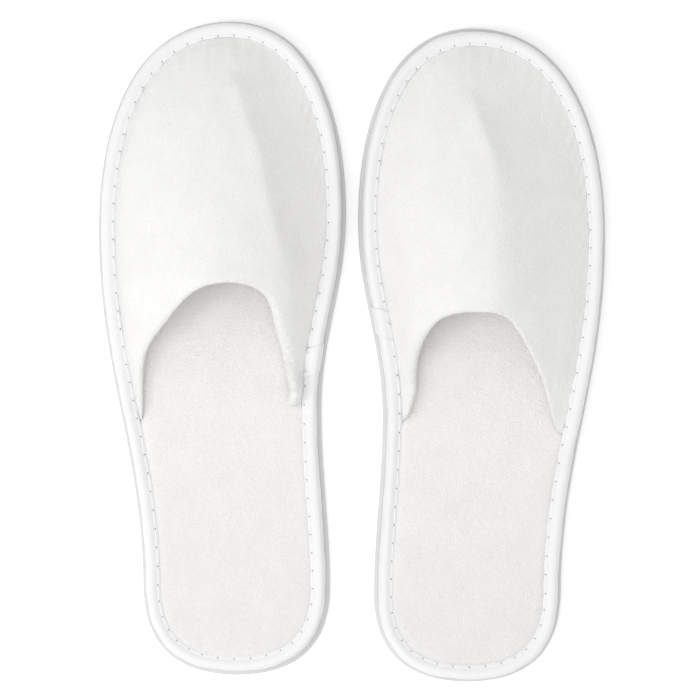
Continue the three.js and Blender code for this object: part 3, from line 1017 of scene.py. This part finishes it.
def upper_skin(sole, rows, columns):
    """The upper's outer face from the seam's fold to the mouth, and its outward directions.

    Rows run along the seam. Each row's points lie in plan on a line from the seam to the mouth,
    closer together near the seam, at the arch's height, with small puckers from the stitches. Near
    the mouth it is lifted where it would leave no room for the lip above the insole.
    """
    seam, out, places = seam_line(sole, rows)
    mouth = mouth_line(sole, rows)
    ease = np.linspace(0, 1, columns) ** 1.6
    plan = seam[:, None, :] + (mouth - seam)[:, None, :] * ease[None, :, None]
    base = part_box(f"{sole.name}_binding_tape")[1].z - tape_thickness - 0.0003
    rise = arch_height(sole, plan[..., 0], plan[..., 1])
    short = (2 * lip_radii(sole, rows) - lip_room - rise[:, -1]) / lift_ease
    rise += lift_ease * np.logaddexp(0, short)[:, None] * ease[None, :] ** 1.5
    away = np.linalg.norm(plan - seam[:, None, :], axis=2)
    run = (places / edge_steps * sole.length)[:, None]
    gather = np.cos(run * math.tau / stitch_pitch + 0.8 * np.sin(run * 90))
    toe_share = np.sin(np.linspace(0, 1, rows) * math.pi)[:, None] ** 2
    pucker = seam_pucker * toe_share * gather * (away / pucker_reach) * np.exp(1 - away / pucker_reach)
    from_end = np.minimum(np.arange(rows), rows - 1 - np.arange(rows)) / rows * 0.2
    base = base - wing_drop * np.clip(1 - from_end / 0.008, 0, 1)[:, None] ** 2
    points = np.dstack([plan, base + rise + pucker])
    lie = upper_lie * ripple(points, 71 + sole.side, 9, 0.110, 0.030)
    points[..., 2] += lie * np.clip(away / 0.020, 0, 1)
    return points, out


def smoothed(rows, reach):
    """Rows averaged with their neighbours under a bell curve."""
    bell = np.exp(-((np.arange(-reach, reach + 1) / reach * 2) ** 2))
    bell /= bell.sum()
    padded = np.concatenate([rows[:1].repeat(reach, 0), rows, rows[-1:].repeat(reach, 0)])
    return sum(weight * padded[k : k + len(rows)] for k, weight in enumerate(bell))


def upwards(vectors):
    """Vectors divided by their lengths, and turned over where they point down."""
    return unit(vectors) * np.where(vectors[..., 2:] < 0, -1, 1)


class Laminate:
    """The sheets of one upper: its skin from under the binding to the mouth, and what lies under.

    The stack of layers is pressed thin in the seam, springs to its full depth beyond it, and is
    drawn in again to fit inside the lip. No layer sinks into the insole's cover. At the mouth,
    `ahead` points on past the edge and `over` up out of it.
    """

    def __init__(self, sole, rows, columns):
        self.sole = sole
        skin, out = upper_skin(sole, rows, columns)
        normal = upwards(np.cross(np.gradient(skin, axis=0), np.gradient(skin, axis=1)))
        outwards = np.insert(out, 2, 0, axis=1)
        up = np.array([0, 0, 1.0])
        blend = np.clip(np.linspace(0, columns / 6, columns), 0, 1)[None, :, None]
        normal = unit(normal * blend + unit(outwards + up)[:, None, :] * (1 - blend))
        places = np.linspace(insole_inset + 0.0003, fold_inset, margin_columns, endpoint=False)
        margin = np.stack([skin[:, 0] + outwards * (fold_inset - at) for at in places], axis=1)
        self.skin = np.concatenate([margin, skin], axis=1)
        self.normal = np.concatenate([np.broadcast_to(up, margin.shape), normal], axis=1)
        free = np.clip(np.linspace(0, columns / 14, columns), 0, 1)
        self.spring = np.concatenate([np.zeros(margin_columns), free])[None, :]
        self.radius = lip_radii(sole, rows)
        self.spread = resampled(UPPERS[sole.name]["lip_spread"], rows)
        to_mouth = np.linalg.norm((self.skin - self.skin[:, -1:])[..., :2], axis=2)
        room = np.minimum(1, (2 * self.radius - hem_thickness - 0.0001) / stack_depth)[:, None]
        self.draw_in = 1 + (room - 1) * np.clip(1 - to_mouth / 0.014, 0, 1) ** 0.7
        self.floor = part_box(f"{sole.name}_insole_cover")[1].z + floor_gap
        self.edge = self.skin[:, -1]
        along = unit(np.gradient(self.edge, axis=0))
        square = lambda way: unit(way - along * (way * along).sum(axis=1, keepdims=True))
        self.ahead = square(smoothed(square(self.edge - self.skin[:, -4]), 6))
        self.over = upwards(np.cross(self.ahead, along))

    def sheet(self, sewn, free, level=0):
        """The skin sunk by a depth that differs between the seam and the open stretch, but kept
        above the insole, by a step for each layer below."""
        sunk = (sewn + (free - sewn) * self.spring) * self.draw_in
        points = self.skin - self.normal * sunk[..., None]
        lowest = self.floor + layer_step * (4 - level)
        points[:, margin_columns:, 2] = np.maximum(points[:, margin_columns:, 2], lowest)
        return points

    def half_turn(self, inwards, fuzz=0.0):
        """The lip: half a circle, or a wider half ellipse, round a line under the mouth's edge."""
        turn = np.linspace(0, math.pi, lip_columns + 1)[1:][None, :, None]
        rough = np.random.default_rng(17).normal(0, fuzz, (len(self.radius), lip_columns, 1))
        radius = np.maximum(self.radius[:, None, None] - inwards, 0.0002) + rough
        centre = (self.edge - self.over * self.radius[:, None])[:, None, :]
        ahead = self.ahead * self.spread[:, None]
        ring = ahead[:, None, :] * np.sin(turn) + self.over[:, None, :] * np.cos(turn)
        points = centre + ring * radius
        points[..., 2] = np.maximum(points[..., 2], self.floor)
        return points

    def flap(self, depth, level):
        """A strip that goes back from the lip's end, at a depth inside it, to a rounded edge."""
        across = np.linalg.norm((self.edge - self.skin[:, margin_columns])[:, :2], axis=1)
        width = np.minimum(hem_width, 0.6 * across)[:, None, None]
        back = np.linspace(0.02, 1, 14)[None, :, None]
        ends = 0.5 * hem_thickness * (1 - np.clip((1 - back) / 0.16, 0, 1) ** 0.5)
        sunk = 2 * self.radius[:, None, None] - depth + np.where(depth > 0, ends, -ends)
        edge = self.edge[:, None, :]
        points = edge - self.ahead[:, None, :] * width * back - self.over[:, None, :] * sunk
        points[..., 2] = np.maximum(points[..., 2], self.floor + 0.0001 * level)
        return points


def shell_mesh(cloth):
    """The velour: over the toe, then round the lip in a half turn."""
    outer = np.concatenate([cloth.sheet(0, 0), cloth.half_turn(0, lip_fuzz)], axis=1)
    inner = cloth.sheet(0.0006, shell_thickness, 1)
    inner = np.concatenate([inner, cloth.half_turn(shell_thickness)], axis=1)
    return wall_mesh(outer, inner)


def layer_between(cloth, sewn, free, level):
    """An inner layer, between two depths under the skin."""
    outer = cloth.sheet(sewn[0], free[0], level)
    return wall_mesh(outer, cloth.sheet(sewn[1], free[1], level + 1))


def hem_mesh(cloth):
    """The turned-in flap, which goes on from the lip inside the mouth."""
    return wall_mesh(cloth.flap(hem_thickness, 2), cloth.flap(0.0, 0))


def vamp_size(cloth, trim=0.0):
    """Width and length of the flat piece an upper is cut to, and its area, over the arch's skin.

    The width is the run across at the mouth's tip, from under the binding on one side to the
    other. The length is the run from the toe to the tip, and on down to the wings' ends.
    """
    sole = cloth.sole
    tip = sole.heel + UPPERS[sole.name]["tip"]
    inner, outer = sole.sides(tip, fold_inset)
    x = np.linspace(inner, outer, 400)
    across = np.hypot(np.diff(x), np.diff(arch_height(sole, x, np.full(400, tip)))).sum()
    y = np.linspace(tip, sole.toe - fold_inset, 400)
    middle = sole.across(0.5, y)
    along = np.hypot(np.diff(y), np.diff(arch_height(sole, middle, y))).sum()
    margin = fold_inset - insole_inset
    wings = tip - sole.heel - min(wing_at[sole.name])
    area = area_of(cloth.sheet(0, 0))
    if trim:
        area += area_of(cloth.half_turn(0)) + area_of(cloth.flap(0.0, 0))
    return (float(across + 2 * margin), float(along + margin + wings + trim)), area


def tricot():
    """Smooth knitted lining, with fine wales along it."""
    made, wire = material("lining", 0.7, 0.25)
    where = wire.places()
    wales = wire.node(
        "ShaderNodeTexWave", {"bands_direction": "X"}, {"Vector": where, "Scale": 420.0}, "Fac"
    )
    colour = wire.tint(wire.noise(where, 200.0), (0.91, 0.905, 0.90, 1), (0.945, 0.94, 0.935, 1))
    return finish_with(made, colour, wire.relief(wales, 0.00008, 0.5))


shell_finish = velour(
    "upper_velour", light=(0.912, 0.905, 0.899, 1), shade=(0.858, 0.850, 0.843, 1),
    nap_scale=1150.0, nap_height=0.0006, strokes=0.55,
)
lining_finish = tricot()
for sole in SOLES:
    fine = Laminate(sole, 420, 84)
    plain = Laminate(sole, 200, 60)
    shell = shell_mesh(fine)
    shell = sewn_piece(sole, "velour_shell", "upper_shell", shell, shell_finish)
    foam = layer_between(plain, *foam_depths, 2)
    foam = sewn_piece(sole, "laminate_foam", "upper_foam", foam, foam_finish)
    lining = layer_between(plain, *lining_depths, 3)
    lining = sewn_piece(sole, "tricot_lining", "upper_lining", lining, lining_finish)
    hem = sewn_piece(sole, "turned_hem", "mouth_hem", hem_mesh(fine), shell_finish)
    size, area = vamp_size(plain, hem_width)
    size, area = vamp_size(plain)
